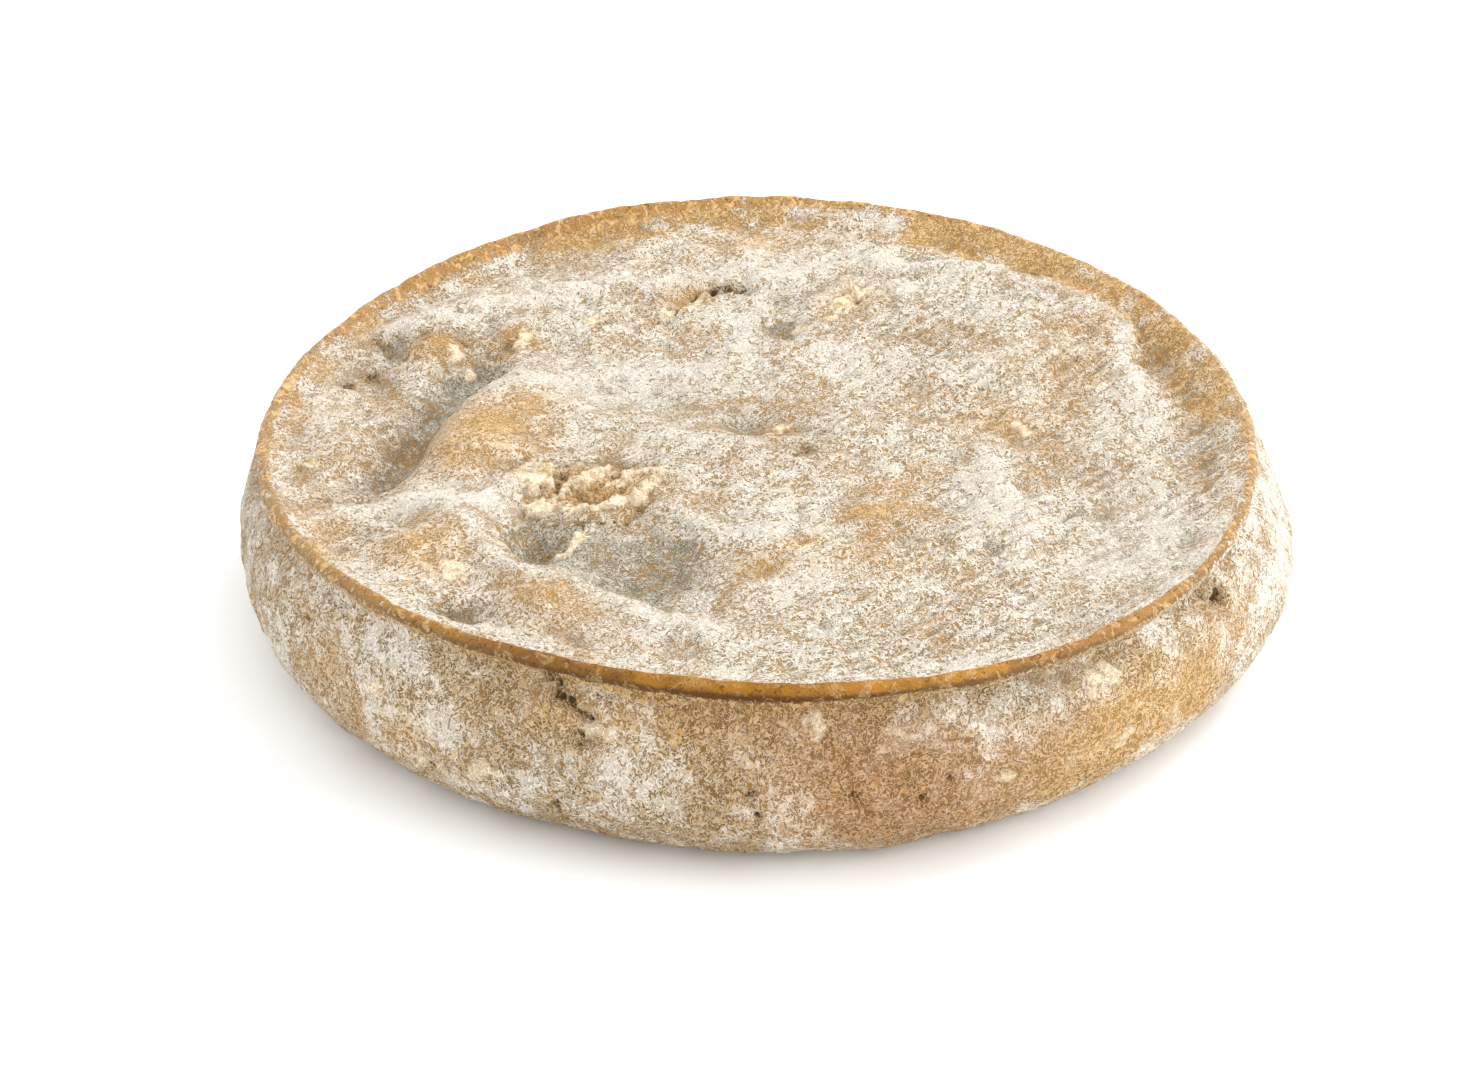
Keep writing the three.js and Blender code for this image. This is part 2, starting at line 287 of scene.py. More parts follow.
# what lies on top: places in millimetres from the middle, +x right and +y to the back
topForm = {
    # x, y, rise, reach along, reach across and turn in degrees
    "mounds": [
        (-61, -10, 4.6, 15, 11, 55),  # the large one on the left
        (-52, 14, 1.8, 12, 9, 60),
        (-73, 36, 3.4, 4.5, 6, 0),  # a small knob at the back left
        (-55, 43, 2.2, 4, 5, 0),
        (-67, -47, 3.4, 11, 7, 30),
        (-41, -69, 3.4, 11, 7, -25),
        (-36, -22, 2.4, 15, 8, 0),  # under the torn crust
        (-28, 80, 2.2, 24, 11, 5),  # the swelling at the back
        (10, 78, 1.6, 18, 8, -5),
        (52, 34, 2.2, 22, 18, 45),  # the broad rise on the right
        (58, -8, 1.2, 9, 7, 30),
        (28, -28, 1.4, 16, 20, 0),
        (22, -54, 1.3, 14, 9, 20),
        (-93, 0, 1.8, 7, 20, 0),  # beside the lip on the left
        (-76, -70, 0.8, 7, 5, -40),
    ],
    "hollows": [
        (-47, -45, -4.4, 7, 7, 0),  # in front of the torn crust
        (-23, -53, -5.2, 11, 12, -20),  # the bowl
        (-61, -68, -3.0, 7, 4, -25),
        (-37, -79, -1.6, 7, 3, -20),
        (4, 47, -2.8, 7, 6, 40),  # behind the middle
        (-28, 21, -1.6, 12, 9, 10),
        (-6, 10, -1.6, 15, 10, 0),
        (-84, 20, -2.2, 6, 8, 0),
        (-81, 36, -2.4, 3, 7, -10),
        (-68, 24, -2.2, 4, 7, -20),
        (-84, -20, -1.8, 7, 10, 0),
        (88, 25, -2.4, 6, 26, 5),  # along the lip on the right
        (86, -22, -1.4, 7, 22, -10),
        (0, -53, -1.4, 6, 4, 20),
        (52, -2, -1.6, 7, 4, -30),
        (40, 8, -1.2, 7, 4, 0),
        (70, -40, -1.2, 12, 14, 0),
        (46, 84, -1.4, 10, 6, -35),
    ],
    # rise, reach on the left of the path, reach on its right, whiteness of the crest, path
    "folds": [
        (-4.4, 8, 6, 0, [(-62, 32), (-67, 20), (-72, 8), (-76, -2)]),
        (-2.4, 5, 4.5, 0, [(-75, -4), (-78, -10), (-80, -18)]),
        (2.2, 7, 3.6, 0.35, [(-54, 31), (-60, 18), (-66, 6), (-70, -6)]),
        (2.2, 5, 3.0, 0.6, [(-93, 36), (-86, 43), (-77, 47), (-66, 50)]),
        (2.0, 8, 2.4, 0.5, [(-64, 54), (-50, 60), (-30, 66), (-14, 67), (0, 64)]),
        (1.2, 6, 3, 0.5, [(0, 64), (14, 70), (28, 73)]),
        (2.0, 2.6, 5.0, 0.6, [(26, 72), (40, 72), (54, 69), (69, 59), (79, 47), (80, 30), (79, 12)]),
        (1.8, 2.5, 3, 0.3, [(12, 56), (22, 64), (31, 63), (33, 52)]),
        (1.6, 4, 6, 0.5, [(46, -12), (50, -28), (52, -42), (50, -56)]),
        (2.2, 4, 5, 0.45, [(-64, -36), (-52, -54), (-38, -60), (-28, -70), (-10, -78)]),
        (1.6, 3, 4, 0.6, [(-94, -38), (-76, -30), (-60, -31), (-52, -24)]),
        (1.0, 3, 3, 0.3, [(-76, -20), (-66, -27), (-58, -24)]),
        (1.0, 2.5, 4, 0.4, [(-20, -32), (-12, -39), (2, -44)]),
        (0.9, 5, 7, 0.2, [(-50, 20), (-34, 8), (-16, -4), (-4, -8)]),
        (0.8, 6, 6, 0.2, [(8, 42), (26, 30), (46, 26), (66, 36)]),
    ],
    # narrow breaks in the crust: depth, width, path
    "cracks": [
        (0.6, 0.8, [(-44, 53), (-40, 50), (-35, 50), (-31, 52)]),
        (1.2, 1.0, [(-27, 50), (-22, 52), (-20, 59), (-16, 63), (-10, 64.5), (-4, 62)]),
        (0.4, 0.8, [(10, 49), (15, 53), (19, 54), (25, 60)]), (0.4, 0.8, [(39, 10), (44, 7), (50, 8)]),
        (0.6, 0.8, [(49, -4), (55, -7), (60, -12), (63, -17)]),
        (0.7, 1.5, [(-50, -34), (-44, -36), (-38, -37), (-30, -36), (-24, -31)]),
        (0.7, 1.2, [(-42, -12), (-34, -13), (-27, -16), (-20, -17)]),
        (0.8, 1.0, [(-43, -15), (-42, -23), (-43, -29)]),
        (0.8, 1.0, [(-33, -19), (-30, -25), (-33, -29)]), (0.5, 1.1, [(12, -40), (20, -36), (27, -39)]),
        (0.6, 1.0, [(-92, 34), (-84, 40), (-79, 33)]), (0.8, 0.9, [(-78, 42), (-68, 41), (-60, 38)]),
    ],
    # their crumbly raised edge: how many widths out it stands, and its share of the depth
    "crackEdgeAt": 2.2,
    "crackEdgeRise": 0.5,
    # x, y, depth and width
    "pits": [
        (-91, 20, 1.6, 2.2), (-87, 26, 1.4, 2.6), (-79, -18, 1.4, 2.4), (-12, 63.5, 2.6, 1.3),
        (-57, 40, 1.0, 1.8), (-17, 60, 1.3, 1.1), (-22, 51, 1.3, 1.1), (-40, 50, 1.0, 1.0),
        (-34, 21, 0.6, 1.4), (-24, 22, 0.6, 1.2), (8, -7.5, 1.4, 1.0), (5, -11, 1.3, 0.9),
        (3.5, -5.5, 0.8, 0.9), (-98, -17, 1.0, 1.8), (-90, -28, 1.2, 2.0), (-84, -27, 0.8, 1.4),
        (41, 90, 1.0, 2.0), (46, 86, 0.8, 1.6), (60, 69, 1.2, 1.8), (66, 80, 0.7, 1.4),
        (-39, 87, 1.0, 1.5), (-30, 86, 0.8, 1.3), (-44, -43, 1.0, 2.6), (-49, -38, 0.9, 2.2),
        (-62, -69, 1.0, 2.6), (-1, -54, 0.8, 1.8), (7, -44, 0.6, 1.6), (-66, 69, 1.0, 1.2),
        (54, 3, 0.6, 1.4), (96, -6, 0.7, 1.4), (-52, 3, 0.5, 1.3), (30, -44, 0.6, 1.3),
        (-31, -38, 0.9, 0.8), (-33, -40, 0.9, 0.8), (-25, -17, 0.8, 1.0), (-22, -24, 0.8, 0.8),
    ],
    # where the crust is torn away down to brown rind: x, y, how much, the two reaches and turn
    "torn": [
        (-37, -25, 0.9, 13, 9, -8), (-46, -38, 0.2, 4, 4, 0), (20, 56, 0.55, 5, 4, 40),
        (-15, 61, 0.5, 7, 3, 25), (-71, 35, 0.4, 6, 6, 0), (3, 2, 0.45, 4, 4, 0), (7, -8, 0.6, 3, 3, 0),
        (-55, 42, 0.35, 5, 4, 0), (-95, -15, 0.35, 3, 5, 0),
    ],
    "flake": (2.4, 2.0),  # size of one flake of the torn ground
    "flakeTurn": -24,
    "flakeTilt": 0.9,
    "flakeRise": 0.6,
    "flakeGap": 0.3,  # depth of the gap between flakes
    "flakeGapWidth": 0.15,
    "flakeSeed": 23,
    # torn bits of the crust that show the paste: x, y, rise, half length, half width and turn
    "crumbs": [
        (-47.5, -22, 2.6, 3.6, 4.8, 14), (-46, -31, 1.6, 3.4, 3.0, -20), (-41.5, -26, 1.3, 1.2, 4.2, -32),
        (-36, -22, 2.2, 2.1, 7.0, -36), (-39, -32, 1.6, 3.8, 1.5, 14), (-31, -30, 1.8, 5.0, 1.7, 24),
        (-30, -21, 1.1, 1.2, 3.6, -30), (-25, -26, 2.0, 1.7, 4.4, -18), (-23, -19, 1.3, 3.0, 1.3, -10),
        (-39, -42, 1.1, 1.7, 4.6, -28), (22, 59, 1.7, 1.8, 2.4, -30), (18, 55, 1.4, 2.2, 2.2, 20),
        (15, 51, 0.8, 1.2, 1.4, 0), (8, 48, 0.8, 1.6, 2.2, 60), (2.5, 3.5, 1.4, 1.5, 3.0, -25),
        (0, 1, 0.8, 1.4, 1.2, 0), (-16, 60.5, 1.2, 2.2, 1.8, 15), (-22, 55, 1.0, 2.6, 1.9, 25),
        (-29, 51, 0.7, 1.6, 1.3, 0), (-39, 51, 0.7, 2.6, 1.2, 0), (-69.5, 35, 1.0, 1.4, 3.0, 14),
        (-66, 32, 0.7, 1.3, 1.6, 0), (-54, 42, 0.8, 1.3, 2.4, -20), (-62, -56, 0.8, 1.8, 2.6, 10),
        (54, 4, 0.5, 1.2, 2.8, 40), (-96, -14, 0.7, 1.3, 2.0, 0),
    ],
    "crumbRise": 0.55,
    # warm rind that shows through the mould; rows as for the torn ground, here and below
    "ochre": [
        (-61, -6, 1.0, 16, 12, 55), (-48, 12, 0.4, 9, 6, 40), (-73, 36, 0.9, 5, 6, 0),
        (-55, 43, 0.6, 4, 5, 0), (-68, -50, 0.8, 9, 9, 30), (-42, -69, 0.7, 12, 8, -25),
        (-35, -28, 0.6, 14, 8, 0), (-1, -53, 0.9, 5, 4, 0), (7, -45, 0.9, 5, 3, 30),
        (20, -36, 0.8, 7, 3, 10), (20, -52, 0.35, 14, 9, 20), (28, -28, 0.4, 8, 10, 0),
        (52, 3, 0.6, 10, 6, -45), (66, 24, 0.4, 8, 20, -10), (90, 24, 0.85, 6, 15, 10),
        (82, 54, 0.6, 5, 12, 35), (48, 86, 0.9, 11, 6, -30), (64, 76, 0.6, 14, 6, -42),
        (-4, 84, 0.7, 12, 7, 0), (-36, 87, 0.6, 10, 5, 10), (-92, 5, 0.22, 8, 22, 0),
        (-88, -40, 0.35, 6, 12, 25), (-18, 62, 0.7, 8, 5, 25), (20, 57, 0.7, 8, 6, 30),
        (2, 2, 0.6, 4, 4, 0), (-55, 60, 0.3, 10, 6, 20),
    ],
    # cool hollows made greyer: partly grey mould, partly painted shade in the valleys and the bowl
    "greyAndShade": [
        (-71, 14, 1.1, 7, 26, -18), (-84, 38, 0.7, 5, 12, -40), (-87, 24, 0.9, 6, 6, 0),
        (-78, -14, 0.8, 4, 7, 0), (-46, -43, 1.5, 9, 8, 0), (-25, -51, 1.4, 15, 14, -20),
        (-32, -14, 0.8, 9, 4, -10), (4, 47, 0.7, 8, 7, 40), (-27, 18, 0.4, 16, 12, 0),
        (-4, 4, 0.35, 18, 14, 0), (74, -38, 0.45, 14, 26, -15), (44, 92, 0.8, 6, 6, 0),
        (60, 69, 0.8, 4, 4, 0), (92, -6, 0.6, 5, 12, 0), (-62, -69, 0.7, 7, 4, -20),
        (8, -9, 0.7, 4, 4, 0), (-96, -20, 0.5, 4, 7, 0), (35, -40, 0.4, 8, 8, 0),
        (14, -82, 0.22, 38, 12, 0),
    ],
    # smooth, whiter film
    "film": [
        (-36, 24, 0.5, 15, 10, 0), (25, 60, 0.4, 16, 6, 10), (-52, 62, 0.5, 15, 7, 20),
        (76, -40, 0.5, 12, 24, -15), (-60, -32, 0.55, 12, 5, 0), (-26, -77, 0.25, 13, 5, -8),
        (-12, 26, 0.3, 14, 9, 0), (16, 76, 0.35, 16, 5, 0), (-92, 10, 0.3, 6, 18, 0),
    ],
    # the cloth the wheel was pressed in left slanting pleats, from one x to another
    "pleats": {"bearing": 45, "pitch": 3.3, "depth": 0.42, "from": -5, "to": 35},
    # narrow sunken lines that wander and fade
    "creaseDepth": 0.9,
    "creaseWidth": 0.035,
    # the relief and its grain grow between these distances inside the crest
    "reliefGrows": (1.5, 9),
    "grainGrows": (0.4, 3),
    # layers of unevenness: height, size of the largest feature, octaves and seed
    "layers": {
        "wanderX": (1.9, 14, 4, 1), "jitterX": (0.6, 2.5, 2, 2),
        "wanderY": (1.9, 14, 4, 3), "jitterY": (0.6, 2.5, 2, 4),
        "ragged": (1, 2.2, 3, 5),
        "broad": (0.9, 34, 3, 6), "lumps": (1.2, 14, 4, 7), "dents": (0.7, 20, 3, 22),
        "crease": (1, 26, 2, 24), "creaseShare": (1.3, 30, 2, 25),
        "pleatShare": (0.9, 18, 2, 8), "pleatBend": (2.2, 22, 2, 9),
        "grain": (0.4, 5, 3, 10), "pimples": (0.3, 2.4, 2, 11),
        "skinBend": (3, 30, 2, 29), "rimMottle": (3.2, 8, 4, 26),
    },
}

# the side: bearing round the wheel in degrees, then height in millimetres
sideForm = {
    # bearing, height, how much, reach round the wheel and reach up
    "marks": {
        "ochre": [
            (-50, 20, 1.4, 8, 9), (-40, 20, 1.0, 6, 8), (-60, 14, 0.6, 8, 8), (-30, 24, 0.4, 6, 7),
            (-129, 18, 0.6, 7, 7), (-142, 22, 0.5, 6, 9), (-112, 31, 0.5, 10, 5), (-99, 33, 0.5, 8, 6),
            (-160, 16, 0.4, 6, 8),
        ],
        "rust": [
            (-80, 24, 1.1, 13, 13), (-72, 12, 0.6, 12, 7), (-97, 34, 0.5, 7, 4), (-62, 24, 0.5, 8, 8),
            (-34, 28, 0.4, 6, 5),
        ],
        "white": [
            (-43, 11, 0.6, 3, 3), (-15, 26, 0.6, 14, 14), (-104, 18, 0.3, 10, 8), (-172, 24, 0.5, 14, 16),
            (-70, 30, 0.3, 9, 5),
        ],
        # greyer patches: partly grey mould, partly painted shade under the lip's overhang at the front right
        "greyAndShade": [
            (-60, 34, 0.8, 10, 3.5), (-36, 34, 0.5, 8, 3), (-165, 26, 0.5, 14, 14),
            (-108, 8, 0.35, 16, 6), (-112, 22, 0.4, 4, 3),
        ],
    },
    "markStretch": 1.6,  # marks are drawn out round the wheel
    # bearing, height, depth and width
    "pits": [
        (-111, 33.6, 1.0, 1.0), (-109.3, 30.8, 1.6, 1.0), (-109.5, 27, 0.9, 0.9), (-160.5, 19, 1.4, 1.2),
        (-159, 15, 1.0, 1.0), (-34, 32.5, 2.0, 1.3), (-33, 32, 1.8, 1.2), (-10.5, 9, 1.4, 1.5),
        (-92, 20.5, 1.6, 1.2), (-91, 18, 1.0, 0.9), (-72, 22, 1.2, 1.1), (-70.5, 15, 1.6, 1.3),
        (-73.5, 17, 1.2, 2.0), (-112, 13, 1.0, 1.6), (-126, 13, 1.0, 1.2), (-146, 28, 1.0, 1.2),
        (-38, 16, 0.8, 0.8), (-81, 20, 0.9, 1.4), (20, 24, 1.2, 1.2), (55, 15, 1.4, 1.5),
        (84, 27, 1.2, 1.0), (112, 12, 1.4, 1.6), (138, 25, 1.2, 1.3), (160, 18, 1.0, 1.2),
    ],
    # flakes of dried crust: bearing, height, half width and half height
    "flakes": [
        (-53, 32, 3.2, 2.4), (-51.5, 18, 4.0, 1.8), (-49.5, 16.5, 1.6, 1.2), (-85, 32, 1.7, 1.9),
        (-120, 16.5, 3.4, 2.2), (-128, 12, 2.6, 2.8), (-65, 19, 1.6, 1.0), (-36, 13, 1.4, 1.4),
        (-108, 29, 2.4, 1.2), (-134, 24, 1.8, 1.2), (35, 20, 2.4, 1.6), (90, 14, 2.8, 2.0),
        (128, 28, 2.0, 1.6), (168, 16, 2.6, 1.8),
    ],
    "flakeRise": 0.45,
    # depth, width and path
    "cracks": [
        (2.2, 1.15,
         [(-114.5, 36.5), (-113, 35.6), (-112.6, 34), (-111, 33.4), (-110.4, 31.6), (-108.8, 30.6)]),
        (1.2, 0.8, [(-111, 33), (-109.5, 34.6), (-107, 34.2)]),
        (1.2, 0.9, [(-110, 28), (-108.4, 27)]),
        (1.2, 0.9, [(-162, 21), (-160, 17), (-158, 12)]),
        (1.6, 1.0, [(-35.5, 33.5), (-32.5, 32)]),
        (1.2, 1.0, [(96, 20), (99, 16), (101, 15)]),
        (1.2, 0.9, [(62, 30), (65, 28)]),
    ],
    # darker and browner towards the base: the rind shows through, and painted shade where the wheel meets
    # the floor
    "footBareAndShade": 0.9,
    # the relief and the marks fade out between these distances from the base and the crest
    "fadeAtBase": (0.2, 4),
    "fadeAtCrest": (0.3, 4),
    "marksFade": (2, 5),
    "layers": {
        "wanderRound": (1, 9, 4, 12), "wanderUp": (2, 9, 4, 13), "ragged": (1, 2.4, 3, 28),
        "broad": (0.65, 30, 3, 14), "lumps": (0.45, 10, 3, 15),
        "grain": (0.3, 3.6, 3, 16), "pimples": (0.3, 2.4, 2, 17),
        "mottle": (1, 6, 4, 30), "bareShare": (1.4, 20, 3, 27),
    },
}


def turned(x, y, at, turn):
    # the point seen from a spot, along and across its own turn
    angle = math.radians(turn)
    dx, dy = x - at[0], y - at[1]
    return dx * math.cos(angle) + dy * math.sin(angle), dy * math.cos(angle) - dx * math.sin(angle)


def pathDistance(x, y, path):
    # nearest distance to a path, and whether that is on its left (1) or its right (-1)
    nearest = np.full(x.shape, 1e6)
    side = np.ones(x.shape)
    for (ax, ay), (bx, by) in zip(path[:-1], path[1:]):
        dx, dy = bx - ax, by - ay
        along = np.clip(((x - ax) * dx + (y - ay) * dy) / (dx * dx + dy * dy), 0, 1)
        px, py = x - ax - along * dx, y - ay - along * dy
        distance = np.hypot(px, py)
        closer = distance < nearest
        nearest = np.where(closer, distance, nearest)
        side = np.where(closer, np.sign(dx * py - dy * px), side)
    return nearest, side


def addUp(x, y, spots):
    total = np.zeros(x.shape)
    for atX, atY, amount, reachAlong, reachAcross, turn in spots:
        along, across = turned(x, y, (atX, atY), turn)
        total += amount * np.exp(-((along / reachAlong) ** 2 + (across / reachAcross) ** 2))
    return total


def foldRise(x, y, folds):
    # the height of all folds, and how white the mould on their crests is
    total = np.zeros(x.shape)
    white = np.zeros(x.shape)
    for rise, reachLeft, reachRight, whiteness, path in folds:
        distance, side = pathDistance(x, y, path)
        reach = np.where(side > 0, reachLeft, reachRight)
        total += rise * bell(distance, reach)
        white = np.maximum(white, whiteness * bell(distance, 0.5 * reach))
    return total, white


def chips(points):
    # angular flakes: the height over each tilted flake, and how near its edge a point is
    along, across = turned(points[:, 0], points[:, 1], (0, 0), topForm["flakeTurn"])
    length, width = topForm["flake"]
    heights, edges = [], []
    for u, v in zip(along / length, across / width):
        distances, centres = noise.voronoi(Vector((u, v, topForm["flakeSeed"])))
        centre = centres[0]
        angle = 2 * math.pi * noise.cell(centre * 5.1)
        tilt = (u - centre.x) * math.cos(angle) + (v - centre.y) * math.sin(angle)
        heights.append(noise.cell(centre * 7.3) + topForm["flakeTilt"] * tilt)
        edges.append(distances[1] - distances[0])
    return np.array(heights), np.array(edges)


def crumbShare(x, y, at, size, turn, ragged):
    # a torn chip with broken edges, higher at one end
    along, across = turned(x, y, at, turn)
    along, across = along / size[0], across / size[1]
    out = np.maximum(np.abs(along), np.abs(across)) + 0.3 * np.abs(along * across)
    return smoothStep(1.1 - out + 0.7 * ragged, 0, 0.16), 0.65 + 0.4 * along - 0.3 * across


def wheelPoints():
    # the plain wheel: a square grid bent into the disc of the top, then rings out and down to the base
    steps = math.sqrt(2) * np.sin(np.radians(np.linspace(-45, 45, quadsAcross + 1)))
    u, v = np.meshgrid(steps, steps, indexing="ij")
    gx = (u * np.sqrt(1 - v * v / 2)).ravel()
    gy = (v * np.sqrt(1 - u * u / 2)).ravel()
    gridBearing = np.arctan2(gy, gx)
    gridRadius = np.minimum(np.hypot(gx, gy), 1) * (lipRadiusAt(gridBearing) - meshSteps["gridEdge"])
    gridX, gridY = gridRadius * np.cos(gridBearing), gridRadius * np.sin(gridBearing)
    for atX, atY, reach, strength in meshSteps["closer"]:
        dx, dy = gridX - atX, gridY - atY
        pull = strength * np.exp(-(dx * dx + dy * dy) / reach ** 2)
        gridX, gridY = gridX - pull * dx, gridY - pull * dy
    rings = [np.stack([gridX, gridY, np.full(gx.shape, wheelHeight)], 1)]
    bearing = np.radians(-45 + 360 * np.arange(roundCount) / roundCount)
    lipPush = lobePush(wheelForm["lipLobes"], bearing)
    bellyPush = lobePush(wheelForm["bellyLobes"], bearing)

    def ring(radius, height):
        return np.stack([radius * np.cos(bearing), radius * np.sin(bearing), np.full(roundCount, height)], 1)

    for inset in meshSteps["lipInner"]:
        rings.append(ring(wheelForm["lipRadius"] - inset + lipPush, wheelHeight))
    groove = roundTheLip("groove", bearing)
    for radius, height in smoothCurve(sideOutline[::-1], meshSteps["sideRows"]):
        share = smoothStep(height, wheelForm["bellyHeight"], wheelHeight - wheelForm["lobesMeet"])
        dip = groove * bell(height - wheelHeight + lipForm["grooveUnder"], lipForm["grooveWidth"])
        rings.append(ring(radius - dip + bellyPush * (1 - share) + lipPush * share, height))
    return np.vstack(rings), bearing, bellyPush


def basePointRings(bearing, bellyPush):
    rings = []
    step = 1
    for number, share in enumerate(meshSteps["baseRings"]):
        if number < meshSteps["halvedRings"]:
            step *= 2
        turn, push = bearing[::step], bellyPush[::step]
        radius = (wheelForm["baseRadius"] + push) * share
        rings.append(np.stack([radius * np.cos(turn), radius * np.sin(turn), np.zeros(len(turn))], 1))
    return rings


def wheelFaces(baseCounts):
    size = quadsAcross + 1
    edge = np.arange(quadsAcross)
    i, j = np.meshgrid(edge, edge, indexing="ij")
    corner = (i * size + j).ravel()
    quads = [np.stack([corner, corner + size, corner + size + 1, corner + 1], 1)]
    last = quadsAcross
    border = np.concatenate([last * size + edge, (last - edge) * size + last, last - edge, edge * size])
    rings = [border]
    count = len(meshSteps["lipInner"]) + meshSteps["sideRows"] + 1
    for k in range(count):
        rings.append(gridCount + k * roundCount + np.arange(roundCount))
    for inner, outer in zip(rings[:-1], rings[1:]):
        quads.append(np.stack([inner, outer, np.roll(outer, -1), np.roll(inner, -1)], 1))
    faces = [list(map(int, face)) for face in np.vstack(quads)]
    # the flat base: rings that thin out by halves towards the middle
    start = gridCount + count * roundCount
    outer = rings[-1]
    for ringCount in baseCounts:
        inner = start + np.arange(ringCount)
        start += ringCount
        for k in range(ringCount):
            d, e = inner[k], inner[(k + 1) % ringCount]
            if len(outer) == 2 * ringCount:
                a, b, c = outer[2 * k], outer[2 * k + 1], outer[(2 * k + 2) % len(outer)]
                faces += [[int(a), int(d), int(b)], [int(b), int(d), int(e)], [int(b), int(e), int(c)]]
            else:
                faces.append([int(outer[k]), int(d), int(e), int(outer[(k + 1) % ringCount])])
        outer = inner
    for k in range(len(outer)):
        faces.append([int(outer[k]), start, int(outer[(k + 1) % len(outer)])])
    return faces


def shapeTop(points):
    # returns the height of each point of the top, how far inside the crest it is, and its marks
    x, y = points[:, 0], points[:, 1]
    bearing = np.arctan2(y, x)
    inset = np.maximum(lipRadiusAt(bearing) - np.hypot(x, y), 0)
    flat = np.stack([x, y, np.zeros(len(x))], 1)
    layer = {name: rough(flat, values) for name, values in topForm["layers"].items()}
    wanderX = x + layer["wanderX"] + layer["jitterX"]
    wanderY = y + layer["wanderY"] + layer["jitterY"]
    ragged = layer["ragged"]

    rise = addUp(wanderX, wanderY, topForm["mounds"]) + addUp(wanderX, wanderY, topForm["hollows"])
    foldHeight, white = foldRise(wanderX, wanderY, topForm["folds"])
    rise += foldHeight
    rise += layer["broad"] + layer["lumps"]
    rise -= np.abs(layer["dents"])
    creaseShare = np.clip(0.35 + layer["creaseShare"], 0, 1)
    rise -= topForm["creaseDepth"] * creaseShare * bell(layer["crease"], topForm["creaseWidth"])

    # torn ground, and the crumbs that stand on it
    flakeHeight, flakeEdge = chips(flat)
    ground = np.clip(addUp(wanderX, wanderY, topForm["torn"]), 0, 1)
    gap = bell(flakeEdge, topForm["flakeGapWidth"])
    rise += ground * (topForm["flakeRise"] * (flakeHeight - 1) - topForm["flakeGap"] * gap)
    crumb = np.zeros(len(x))
    for atX, atY, height, halfLength, halfWidth, turn in topForm["crumbs"]:
        share, slope = crumbShare(wanderX, wanderY, (atX, atY), (halfLength, halfWidth), turn, ragged)
        rise += topForm["crumbRise"] * height * share * (slope + 0.4 * flakeHeight)
        crumb = np.maximum(crumb, share)
    # darker in the gaps between flakes and round the edge of each crumb, and below in the cracks and pits:
    # painted shade in these recesses, over darker rind
    darkAndShade = ground * (1 - crumb) * (0.12 + 0.5 * bell(flakeEdge, 0.14))
    darkAndShade = np.maximum(darkAndShade, 1.5 * crumb * (1 - crumb))

    for depth, width, path in topForm["cracks"]:
        distance, _ = pathDistance(wanderX, wanderY, path)
        share = bell(distance, width) * np.clip(0.75 + 1.6 * ragged, 0, 1.2)
        edge = bell(distance - topForm["crackEdgeAt"] * width, width) * np.clip(0.3 + 2 * ragged, 0, 1.5)
        rise += depth * (topForm["crackEdgeRise"] * edge - share)
        darkAndShade = np.maximum(darkAndShade, min(0.95, 0.3 + 0.5 * depth) * share)
    for atX, atY, depth, width in topForm["pits"]:
        share = bell(np.hypot(wanderX - atX, wanderY - atY), width)
        rise -= depth * share
        darkAndShade = np.maximum(darkAndShade, min(1, 0.3 + 0.3 * depth) * share)

    pleats = topForm["pleats"]
    _, acrossPleats = turned(x, y, (0, 0), pleats["bearing"])
    pleatShare = smoothStep(x, pleats["from"], pleats["to"]) * np.clip(0.75 + layer["pleatShare"], 0, 1)
    wave = np.sin(2 * math.pi * acrossPleats / pleats["pitch"] + layer["pleatBend"])
    rise += pleats["depth"] * pleatShare * wave

    # the lip's inner face comes first, and the relief grows away from it
    inward = smoothStep(inset, *topForm["reliefGrows"])
    drop, run = roundTheLip("drop", bearing), roundTheLip("run", bearing)
    z = wheelHeight - drop * (1 - np.exp(-(inset / run) ** 1.5))
    z -= wheelForm["sag"] * smoothStep(inset, wheelForm["sagFrom"], wheelForm["sagTo"])
    z += inward * rise
    z += smoothStep(inset, *topForm["grainGrows"]) * (layer["grain"] + np.abs(layer["pimples"]))
    skin = roundTheLip("skin", bearing) * bell(inset - lipForm["skinMiddle"], lipForm["skinReach"])
    z += skin * lipForm["skinDepth"] * np.sin(2 * math.pi * inset / lipForm["skinPitch"] + layer["skinBend"])
    rim = roundTheLip("topRim", bearing) * bell(inset, roundTheLip("topRimReach", bearing))
    rim = np.clip(rim * (0.85 + layer["rimMottle"]), 0, 1)
    film = addUp(wanderX, wanderY, topForm["film"])
    return z, inset, {
        "bare": np.clip(0.3 * rim + 0.7 * ground * (1 - crumb), 0, 1),
        "crumb": crumb * inward,
        "darkAndShade": darkAndShade * inward,
        "ochre": np.clip(addUp(wanderX, wanderY, topForm["ochre"]) + rim + 0.4 * ground, 0, 1),
        "greyAndShade": np.clip(addUp(wanderX, wanderY, topForm["greyAndShade"]), 0, 1) * inward,
        "white": np.clip(white * inward + film + 0.3 * skin, 0, 1),
    }


